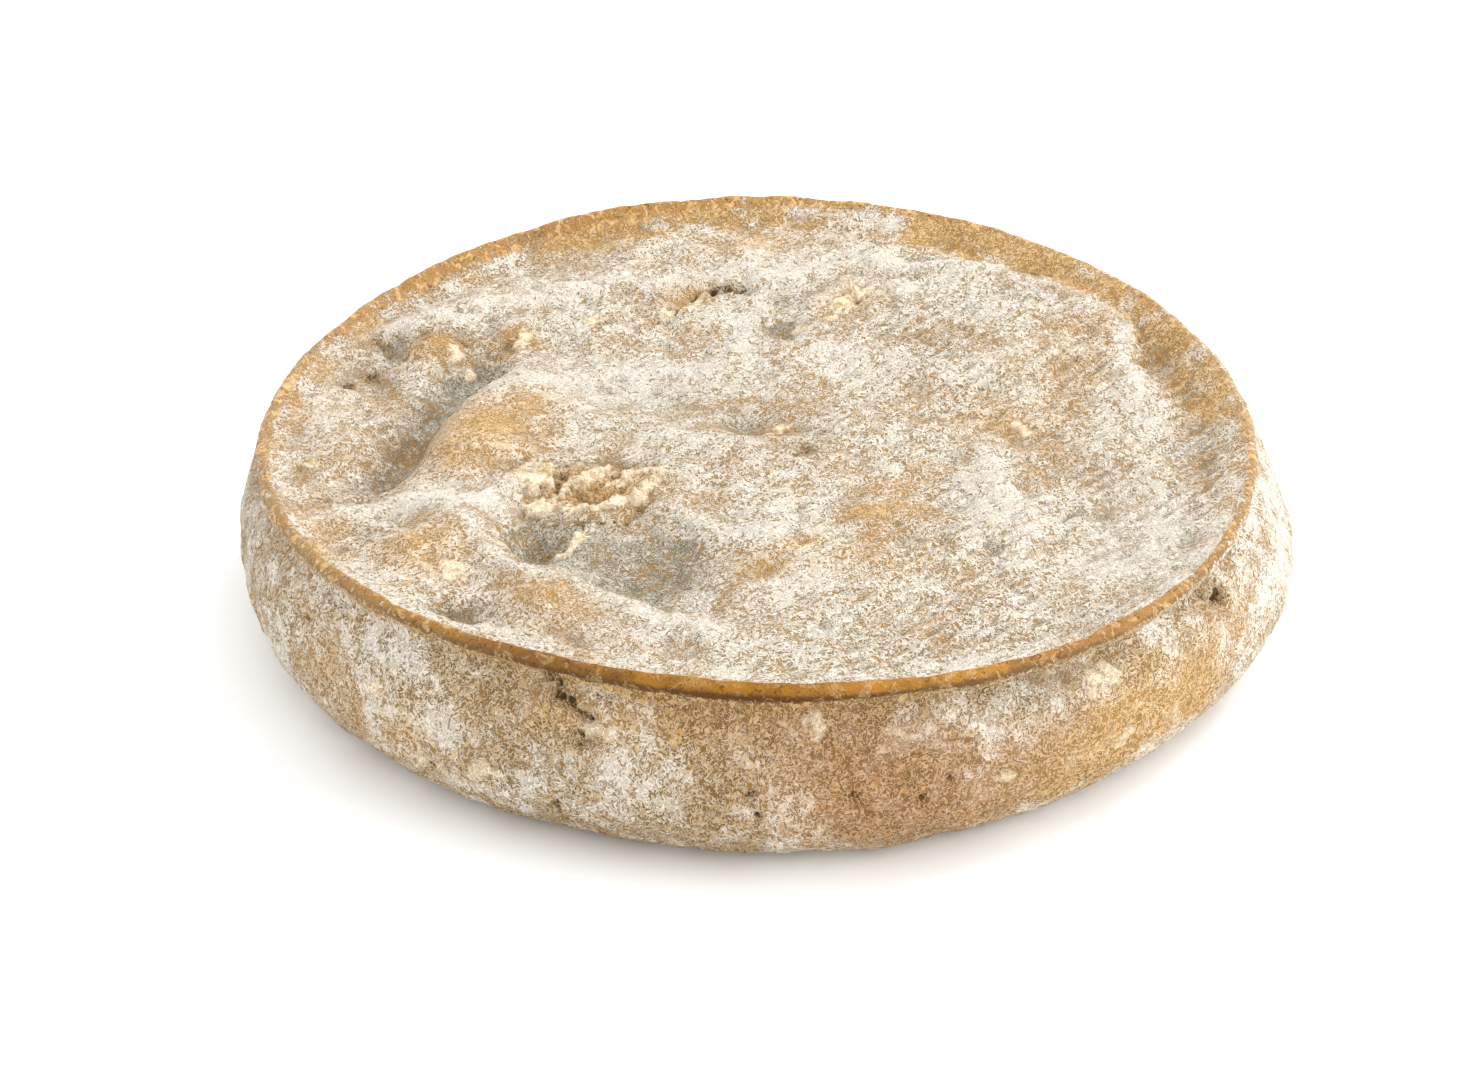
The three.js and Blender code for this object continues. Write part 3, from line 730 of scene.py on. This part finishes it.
def shapeSide(points):
    # returns how far each point of the side moves along its normal, and its marks
    x, y, z = points.T
    layer = {name: rough(points, values) for name, values in sideForm["layers"].items()}
    bearingHere = np.arctan2(y, x)
    around = np.degrees(bearingHere) + layer["wanderRound"]
    up = z + layer["wanderUp"]
    ragged = layer["ragged"]
    arc = math.pi * wheelForm["bellyRadius"] / 180  # millimetres for each degree round the belly

    def arcFrom(bearing):
        return ((around - bearing + 180) % 360 - 180) * arc

    move = layer["broad"] + layer["lumps"] + layer["grain"] - np.abs(layer["pimples"])
    # darker in pits, cracks and round the flakes: darker rind there, and painted shade in these recesses
    darkAndShade = np.zeros(len(x))
    for bearing, height, depth, width in sideForm["pits"]:
        share = bell(np.hypot(arcFrom(bearing), up - height), width) * np.clip(0.8 + 1.2 * ragged, 0, 1.2)
        move -= depth * share
        darkAndShade = np.maximum(darkAndShade, share)
    # the rind is bare beside a crack
    halo = np.zeros(len(x))
    for depth, width, path in sideForm["cracks"]:
        distance, _ = pathDistance(around * arc, up, [(bearing * arc, height) for bearing, height in path])
        share = bell(distance, width) * np.clip(0.9 + 0.9 * ragged, 0, 1.2)
        move -= depth * share
        darkAndShade = np.maximum(darkAndShade, 0.9 * share)
        halo = np.maximum(halo, bell(distance, 3 * width))
    bare = roundTheLip("sideBare", bearingHere) * (1 + layer["bareShare"] + 1.1 * layer["mottle"])
    # the base's edge: bare rind, and painted shade where it meets the floor
    bare += sideForm["footBareAndShade"] * smoothStep(z, 4, 0) + 0.8 * halo * np.clip(0.8 + ragged, 0, 1)
    flake = np.zeros(len(x))
    for bearing, height, halfWidth, halfHeight in sideForm["flakes"]:
        out = np.hypot(arcFrom(bearing) / halfWidth, (up - height) / halfHeight)
        flake = np.maximum(flake, smoothStep(1.1 - out + 0.9 * ragged, 0, 0.3))
    move += sideForm["flakeRise"] * flake
    marks = {
        "darkAndShade": np.maximum(darkAndShade, 0.9 * flake * (1 - flake)),
        "bare": np.clip(bare, 0, 1),
        "crumb": 0.6 * flake,
    }
    for kind, spots in sideForm["marks"].items():
        total = np.zeros(len(x))
        for bearing, height, amount, reachRound, reachUp in spots:
            away = arcFrom(bearing) / (reachRound * sideForm["markStretch"])
            total += amount * np.exp(-away ** 2 - ((up - height) / reachUp) ** 2)
        marks[kind] = np.clip(total, 0, 1)
    bloom = 0.75 * (-layer["mottle"] - 0.15) * (1 - 0.7 * marks["rust"])
    marks["white"] = np.clip(marks["white"] + bloom, 0, 0.6)
    return move, marks


def sinkOf(mesh, heights):
    # how far each point lies below the surface round it
    edges = np.zeros(len(mesh.edges) * 2, np.int64)
    mesh.edges.foreach_get("vertices", edges)
    a, b = edges.reshape(-1, 2).T
    count = len(heights)
    links = np.bincount(a, minlength=count) + np.bincount(b, minlength=count)
    soft = heights.copy()
    for _ in range(meshSteps["sinkPasses"]):
        total = np.bincount(a, soft[b], count) + np.bincount(b, soft[a], count)
        soft = 0.5 * soft + 0.5 * total / links
    return soft - heights


uvPlan = {
    # share of the map's width for each millimetre, and where the middle of each disc lies
    "top": {"scale": 0.0028, "middle": (0.31, 0.67)},
    "base": {"scale": 0.0016, "middle": (0.81, 0.82)},
    "stripSize": (0.479, 0.146),
    "stripCorners": [(0.01, 0.01), (0.505, 0.01), (0.01, 0.17), (0.505, 0.17)],
}


def faceRange(values, loopFace, faceCount, highest):
    # the lowest and highest value among each face's corners
    low = np.full(faceCount, highest)
    high = np.zeros(faceCount, np.int64)
    np.minimum.at(low, loopFace, values)
    np.maximum.at(high, loopFace, values)
    return low, high


def addUvMap(mesh, points):
    # two flat discs, and the side cut into four strips
    sideStart = topCount - roundCount
    sideEnd = topCount + (meshSteps["sideRows"] + 1) * roundCount
    loopPoint = np.zeros(len(mesh.loops), np.int64)
    mesh.loops.foreach_get("vertex_index", loopPoint)
    faceSizes = np.zeros(len(mesh.polygons), np.int64)
    mesh.polygons.foreach_get("loop_total", faceSizes)
    loopFace = np.repeat(np.arange(len(faceSizes)), faceSizes)
    _, lastPoint = faceRange(loopPoint, loopFace, len(faceSizes), len(points))
    uv = np.zeros((len(loopPoint), 2))
    flat = points[loopPoint, :2]
    onTop = lastPoint[loopFace] < topCount
    onBase = lastPoint[loopFace] >= sideEnd
    onSide = ~(onTop | onBase)
    uv[onTop] = flat[onTop] * uvPlan["top"]["scale"] + uvPlan["top"]["middle"]
    uv[onBase] = flat[onBase] * uvPlan["base"]["scale"] * (-1, 1) + uvPlan["base"]["middle"]
    column = (loopPoint - gridCount) % roundCount
    row = (loopPoint - sideStart) // roundCount
    # the column a face starts at, so that the last face of a strip ends at the strip's edge
    firstColumn, lastColumn = faceRange(column, loopFace, len(faceSizes), roundCount)
    faceColumn = np.where(lastColumn - firstColumn > 1, lastColumn, firstColumn)
    strip = faceColumn[loopFace] // quadsAcross
    along = (column - strip * quadsAcross) % roundCount / quadsAcross
    up = 1 - row / (meshSteps["sideRows"] + 1)
    stripWidth, stripHeight = uvPlan["stripSize"]
    corners = np.array(uvPlan["stripCorners"])[strip % 4]
    uv[onSide, 0] = (corners[:, 0] + along * stripWidth)[onSide]
    uv[onSide, 1] = (corners[:, 1] + up * stripHeight)[onSide]
    layer = mesh.uv_layers.new(name="OFBake")
    layer.uv.foreach_set("vector", uv.astype(np.float32).ravel())


maskNames = (
    "bare", "crumb", "darkAndShade", "ochre", "rust", "greyAndShade", "white", "veil", "lip", "lipLowShade", "gold", "sinkShade",
)


def shapeLip(points, normals, upperCount):
    # the lip swells, thins and is nicked as it goes round
    near = np.arange(gridCount, upperCount)
    lipShare = smoothStep(wheelHeight - points[near, 2], *lipForm["waveFrom"])
    around = points[near] * (1, 1, 0)
    wave = rough(around, lipForm["wave"]) + rough(around, lipForm["ripple"])
    nick = np.clip(rough(around, lipForm["nick"]) - lipForm["nickAbove"], 0, 1)
    points[near, 2] += lipShare * (wave - lipForm["nickDepth"] * nick - 0.1)
    swell = rough(points[near], lipForm["swell"]) + rough(points[near], lipForm["lump"])
    swell *= smoothStep(wheelHeight - points[near, 2], *lipForm["swellFrom"])
    points[near] += normals[near] * swell[:, None]


def markLip(points, inset, masks, side):
    # how much of each point is bare lip, how near its lower edge, where painted shade darkens it, and the
    # stain below it, partly a brown stain and partly painted shade under the lip
    bearing = np.arctan2(points[:, 1], points[:, 0])
    masks["veil"] = roundTheLip("veil", bearing)
    masks["gold"] = roundTheLip("gold", bearing)
    inside = roundTheLip("bareInside", bearing)[:topCount]
    below = (wheelHeight - points[side, 2]) / roundTheLip("bareOutside", bearing)[side]
    masks["lip"][:topCount] = 1 - smoothStep(inset, inside * 0.4, inside * 1.5 + 0.3)
    masks["lip"][side] = 1 - smoothStep(below, 0.55, 1.4)
    masks["lip"] *= 1 - 0.42 * masks["veil"]
    masks["lipLowShade"][side] = smoothStep(below, 0.15, 0.7)
    # below the lip the rind turns browner and darker: partly a stain, partly painted shade under the lip's
    # overhang
    drip = 1 + rough(points[side], lipForm["drip"])
    stainAndShade = roundTheLip("stainAndShade", bearing[side]) * bell(below - 0.9, 0.8 * drip)
    for name, strength in (("ochre", 1), ("bare", 0.95), ("darkAndShade", 0.4)):
        masks[name][side] = np.maximum(masks[name][side], strength * stainAndShade)


def buildWheel():
    points, bearing, bellyPush = wheelPoints()
    upperCount = len(points)
    side = slice(topCount, upperCount)
    baseRings = basePointRings(bearing, bellyPush)
    points = np.vstack([points, *baseRings, [[0, 0, 0]]])
    faces = wheelFaces([len(ring) for ring in baseRings])
    masks = {name: np.zeros(len(points)) for name in maskNames}

    points[:topCount, 2], inset, topMasks = shapeTop(points[:topCount])
    for name, values in topMasks.items():
        masks[name][:topCount] = values
    print("top shaped,", topCount, "points")

    mesh = bpy.data.meshes.new("cheese_wheel_rind")
    mesh.from_pydata(points, [], faces)
    mesh.update()
    normals = np.zeros(len(points) * 3, np.float32)
    mesh.vertex_normals.foreach_get("vector", normals)
    normals = normals.reshape(-1, 3).astype(float)

    move, sideMasks = shapeSide(points[side])
    height = points[side, 2]
    hold = smoothStep(height, *sideForm["fadeAtBase"])
    hold *= smoothStep(wheelHeight - height, *sideForm["fadeAtCrest"])
    points[side] += normals[side] * (move * hold)[:, None]
    markShare = smoothStep(wheelHeight - height, *sideForm["marksFade"])
    for name, values in sideMasks.items():
        masks[name][side] = values if name == "bare" else values * markShare
    masks["bare"][upperCount:] = lipForm["sideBare"][0]
    print("side shaped,", upperCount - topCount, "points")

    shapeLip(points, normals, upperCount)
    markLip(points, inset, masks, side)
    mesh.vertices.foreach_set("co", (points * mm).astype(np.float32).ravel())
    # how far the top lies below its surroundings; the material greys the hollows with it: painted shade,
    # partly grey mould
    masks["sinkShade"][:topCount] = sinkOf(mesh, points[:, 2])[:topCount]
    masks["sinkShade"] = np.clip(0.5 + 0.7 * masks["sinkShade"], 0, 1)
    for name, values in masks.items():
        mesh.attributes.new(name, "FLOAT", "POINT").data.foreach_set("value", values.astype(np.float32))
    addUvMap(mesh, points)

    smooth = np.ones(len(mesh.polygons), bool)
    gridFaces = quadsAcross ** 2
    corners = np.array(faces[:gridFaces])
    smooth[:gridFaces] = masks["crumb"][corners].max(1) < meshSteps["facetedAbove"]
    mesh.polygons.foreach_set("use_smooth", smooth)
    mesh.update()
    print("wheel mesh has", len(mesh.polygons), "faces")
    return addObject("cheese_wheel_rind", mesh)


wheel = buildWheel()


# the rind's finish

rindColors = {
    "hairWhite": (0.73, 0.68, 0.605, 1),
    "mouldLight": (0.585, 0.52, 0.43, 1),
    "mouldWarm": (0.54, 0.40, 0.235, 1),
    "mouldTan": (0.46, 0.32, 0.13, 1),
    "mouldOchre": (0.67, 0.41, 0.15, 1),
    "mouldRust": (0.45, 0.215, 0.062, 1),
    "mouldGreyAndShade": (0.20, 0.173, 0.116, 1),
    "rindTan": (0.31, 0.185, 0.075, 1),
    "rindDark": (0.15, 0.082, 0.025, 1),
    "rindOlive": (0.26, 0.19, 0.08, 1),
    "rindOchre": (0.46, 0.235, 0.05, 1),
    "rindRust": (0.35, 0.155, 0.05, 1),
    "crumbCream": (0.90, 0.77, 0.575, 1),
    "crumbTan": (0.56, 0.39, 0.18, 1),
    "lipAmber": (0.20, 0.082, 0.011, 1),
    # dark brown of the lip: its own dark streaks, and painted shadow along its lower edge
    "lipDarkAndShade": (0.085, 0.033, 0.006, 1),
    "lipGold": (0.385, 0.175, 0.016, 1),
    "lipTan": (0.47, 0.30, 0.13, 1),
    "pitBrownAndShade": (0.09, 0.05, 0.016, 1),
}

rindLook = {
    # noises: largest feature in millimetres, detail, roughness, distortion and where they are looked up
    "broad": (24, 3, 0.55, 0, None),
    "patch": (6.5, 4, 0.6, 0, None),
    "tuft": (2.4, 3, 0.6, 0.6, None),
    "curl": (1.9, 1, 0.5, 2.0, None),
    "swirl": (1.4, 1, 0.5, 1.6, (31, 17, 5)),
    "fleck": (1.1, 2, 0.6, 1.4, (-23, 41, 9)),
    # streaks left by the cloth, with their length, width and height
    "streak": (1, 2, 0.55, 0.3, None),
    "streakSize": (9, 1.7, 4),
    # how thin the mould is: a start, then what each noise and each mask adds
    "thinStart": 0.42,
    "thinNoise": {"patch": -1.9, "broad": -1.4, "streak": -0.9},
    "thinMask": {"bare": 0.42, "ochre": 0.34, "rust": 0.38, "white": -0.5, "darkAndShade": 0.5},
    "hairWidth": 0.075,
    "speckWidth": 0.03,
    "roughness": 0.92,
    "lipGloss": 0.5,  # the bare lip is this much smoother
    "shine": 0.12,
    "glow": 0.08,
    "glowRadius": (0.004, 0.002, 0.001),
    "bumpStrength": 0.9,
    "bumpDepth": 0.8 * mm,
}

rindMaterial = bpy.data.materials.new("mould rind")
rindMaterial.use_nodes = True
tree = rindMaterial.node_tree


def put(kind, **settings):
    # adds a node; the nodes stand in rows of ten
    count = len(tree.nodes)
    node = tree.nodes.new(kind)
    node.location = (220 * (count % 10) - 2600, 400 - 260 * (count // 10))
    for name, value in settings.items():
        setattr(node, name, value)
    return node


def feed(socket, value):
    # a socket takes a number, a vector, a colour's name or another node's output
    if isinstance(value, bpy.types.NodeSocket):
        tree.links.new(value, socket)
    else:
        socket.default_value = rindColors.get(value, value)


def maths(operation, a, b, third=0.0, clamp=False):
    node = put("ShaderNodeMath", operation=operation, use_clamp=clamp)
    for socket, value in zip(node.inputs, (a, b, third)):
        feed(socket, value)
    return node.outputs[0]


def times(a, b):
    return maths("MULTIPLY", a, b)


def scaled(value, factor, start, clamp=False):
    return maths("MULTIPLY_ADD", value, factor, start, clamp)


def swing(value, factor, start, clamp=False):
    # noise swings to either side of its middle, 0.5
    return scaled(maths("SUBTRACT", value, 0.5), factor, start, clamp)


def ramp(value, low, high, start=0, end=1):
    # a smooth step from start to end as value goes from low to high
    node = put("ShaderNodeMapRange", interpolation_type="SMOOTHSTEP")
    inputs = ("Value", "From Min", "From Max", "To Min", "To Max")
    for key, setting in zip(inputs, (value, low, high, start, end)):
        feed(node.inputs[key], setting)
    return node.outputs["Result"]


def blend(share, a, b):
    node = put("ShaderNodeMix", data_type="RGBA")
    for number, value in ((0, share), (6, a), (7, b)):
        feed(node.inputs[number], value)
    return node.outputs[2]


def cloud(place, name):
    size, detail, roughness, distortion, lookedUpAt = rindLook[name]
    if lookedUpAt:
        moved = put("ShaderNodeVectorMath", operation="ADD")
        feed(moved.inputs[0], place)
        feed(moved.inputs[1], lookedUpAt)
        place = moved.outputs[0]
    node = put("ShaderNodeTexNoise")
    inputs = ("Vector", "Scale", "Detail", "Roughness", "Distortion")
    for key, value in zip(inputs, (place, 1 / size, detail, roughness, distortion)):
        feed(node.inputs[key], value)
    return node.outputs["Fac"]


def thread(value, width):
    # a thin line wherever the noise passes its middle value
    away = maths("ABSOLUTE", maths("SUBTRACT", value, 0.5), 0.5)
    return ramp(away, 0.3 * width, width, 1, 0)


def makeNoises():
    # object coordinates in millimetres, so the mould keeps its size
    scaleUp = put("ShaderNodeVectorMath", operation="SCALE")
    feed(scaleUp.inputs[0], put("ShaderNodeTexCoord").outputs["Object"])
    feed(scaleUp.inputs["Scale"], 1 / mm)
    place = scaleUp.outputs[0]
    streaked = put("ShaderNodeMapping", vector_type="TEXTURE")
    feed(streaked.inputs["Vector"], place)
    feed(streaked.inputs["Rotation"], (0, 0, math.radians(topForm["pleats"]["bearing"])))
    feed(streaked.inputs["Scale"], rindLook["streakSize"])
    noises = {name: cloud(place, name) for name in ("broad", "patch", "tuft", "curl", "swirl", "fleck")}
    noises["streak"] = cloud(streaked.outputs["Vector"], "streak")
    return noises


def mouldColor(noises, masks, hair):
    # the colour of rind and mould, and where gaps in the mould show the rind
    tuft = noises["tuft"]
    ochre, rust, bareness, white = masks["ochre"], masks["rust"], masks["bare"], masks["white"]
    thin = rindLook["thinStart"]
    for name, amount in rindLook["thinNoise"].items():
        thin = swing(noises[name], amount, thin)
    for name, amount in rindLook["thinMask"].items():
        thin = scaled(masks[name], amount, thin, clamp=name == "darkAndShade")

    # bare rind under the mould
    rind = blend(ramp(noises["broad"], 0.38, 0.62), "rindTan", "rindOlive")
    rind = blend(ramp(noises["patch"], 0.62, 0.38, 0, 0.45), rind, "rindOchre")
    rind = blend(scaled(bareness, 0.35, ochre, clamp=True), rind, "rindOchre")
    rind = blend(rust, rind, "rindRust")

    # a film of mould lies on it: warm where thin, light where thick, and greyer in the hollows, partly grey
    # mould and partly painted shade
    warm = scaled(ochre, 0.5, times(thin, 0.75))
    warm = scaled(rust, 0.6, warm, clamp=True)
    film = blend(warm, "mouldLight", "mouldWarm")
    film = blend(scaled(bareness, 1.3, 0.0, clamp=True), film, "mouldTan")
    film = blend(times(ochre, 0.8), film, "mouldOchre")
    film = blend(times(rust, 0.85), film, "mouldRust")
    # the film turns grey over the grey marks and in the top's hollows: partly grey mould, partly painted
    # shade
    greyMouldAndShade = scaled(masks["greyAndShade"], 0.95, ramp(masks["sinkShade"], 0.55, 1.0, 0, 0.6), clamp=True)
    greyMouldAndShade = times(greyMouldAndShade, ramp(tuft, 0.25, 0.6, 0.55, 1))
    film = blend(greyMouldAndShade, film, "mouldGreyAndShade")
    color = blend(ramp(thin, 0.35, 1.0, 0.0, 0.45), film, rind)

    # commas of bare rind between the threads
    bias = times(maths("SUBTRACT", thin, 0.45), 0.26)
    bias = swing(tuft, -0.2, bias)
    comma = ramp(maths("ADD", noises["curl"], bias), 0.55, 0.62)
    otherComma = ramp(maths("SUBTRACT", noises["swirl"], bias), 0.45, 0.38)
    gap = times(maths("MAXIMUM", comma, otherComma), scaled(hair, -0.8, 1.0))
    color = blend(gap, color, blend(scaled(bareness, 0.6, 0.2, clamp=True), rind, "rindDark"))

    # the threads are whiter than the film, and fewer where it is thin and where grey mould and painted shade
    # lie
    threads = times(hair, ramp(thin, 1.0, 0.15, 0.5, 0.95))
    threads = times(threads, scaled(greyMouldAndShade, -0.6, 1.0))
    tint = scaled(maths("ADD", ochre, rust), 0.25, times(warm, 0.4), clamp=True)
    color = blend(threads, color, blend(tint, "hairWhite", film))
    return blend(times(white, ramp(tuft, 0.3, 0.6, 0, 0.8)), color, "hairWhite"), gap


def addTornPaste(color, noises, masks):
    # torn paste, then the pits, cracks and gaps darkened: their brown rind, and painted shade in these
    # recesses
    tuft, darkAndShade = noises["tuft"], masks["darkAndShade"]
    paste = blend(ramp(tuft, 0.5, 0.72), "crumbCream", "crumbTan")
    color = blend(times(masks["crumb"], ramp(tuft, 0.25, 0.42)), color, paste)
    deep = ramp(swing(noises["fleck"], 1.8, darkAndShade), 0.45, 0.85)
    deep = times(deep, ramp(darkAndShade, 0.12, 0.6))
    return blend(times(deep, 0.92), color, "pitBrownAndShade")


def lipColor(noises, masks):
    # gold on its crest, with painted shade darkening it towards its lower edge, and beads and specks of
    # mould
    tuft, fleck, veil = noises["tuft"], noises["fleck"], masks["veil"]
    golden = swing(noises["broad"], 1.9, masks["gold"], clamp=True)
    amber = blend(golden, "lipAmber", "lipGold")
    amber = blend(ramp(noises["patch"], 0.5, 0.72, 0, 0.6), amber, "lipDarkAndShade")
    # painted shadow along the lip's lower edge, where it rolls over into the groove
    lowEdgeShade = swing(tuft, 1.6, masks["lipLowShade"])
    amber = blend(ramp(lowEdgeShade, 0.05, 0.75, 0, 0.92), amber, "lipDarkAndShade")
    amber = blend(times(veil, 0.8), amber, "lipTan")
    amber = blend(ramp(fleck, 0.58, 0.66, 0, 0.7), amber, "lipDarkAndShade")
    bead = times(ramp(tuft, 0.53, 0.62), scaled(veil, 0.8, 0.15))
    amber = blend(bead, amber, "mouldOchre")
    speck = times(thread(fleck, rindLook["speckWidth"]), ramp(tuft, 0.5, 0.62))
    return blend(times(speck, scaled(veil, 0.6, 0.25)), amber, "hairWhite")


def makeRind():
    shader = tree.nodes["Principled BSDF"]
    noises = makeNoises()
    masks = {name: put("ShaderNodeAttribute", attribute_name=name).outputs["Fac"] for name in maskNames}
    hairWidth = rindLook["hairWidth"]
    hair = maths("MAXIMUM", thread(noises["curl"], hairWidth), thread(noises["swirl"], hairWidth))
    color, gap = mouldColor(noises, masks, hair)
    color = addTornPaste(color, noises, masks)
    edge = swing(noises["tuft"], 1.3, masks["lip"])
    bareLip = ramp(scaled(hair, -0.15, edge), 0.35, 0.62)

    # relief finer than the mesh: tufts, then threads of mould
    relief = scaled(hair, 0.3, noises["tuft"])
    relief = scaled(gap, -0.45, relief)
    relief = times(relief, scaled(bareLip, -0.8, 1.0))
    bump = put("ShaderNodeBump")
    feed(bump.inputs["Strength"], rindLook["bumpStrength"])
    feed(bump.inputs["Distance"], rindLook["bumpDepth"])
    feed(bump.inputs["Height"], relief)

    shaderInputs = {
        "Base Color": blend(bareLip, color, lipColor(noises, masks)),
        "Roughness": scaled(bareLip, -rindLook["lipGloss"], rindLook["roughness"]),
        "Specular IOR Level": rindLook["shine"],
        "Subsurface Weight": rindLook["glow"],
        "Subsurface Radius": rindLook["glowRadius"],
        "Subsurface Scale": 1.0,
        "Normal": bump.outputs["Normal"],
    }
    for name, value in shaderInputs.items():
        feed(shader.inputs[name], value)


makeRind()
wheel.data.materials.append(rindMaterial)
print("rind finished")

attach(wheel, "root")
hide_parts("cheese_wheel")
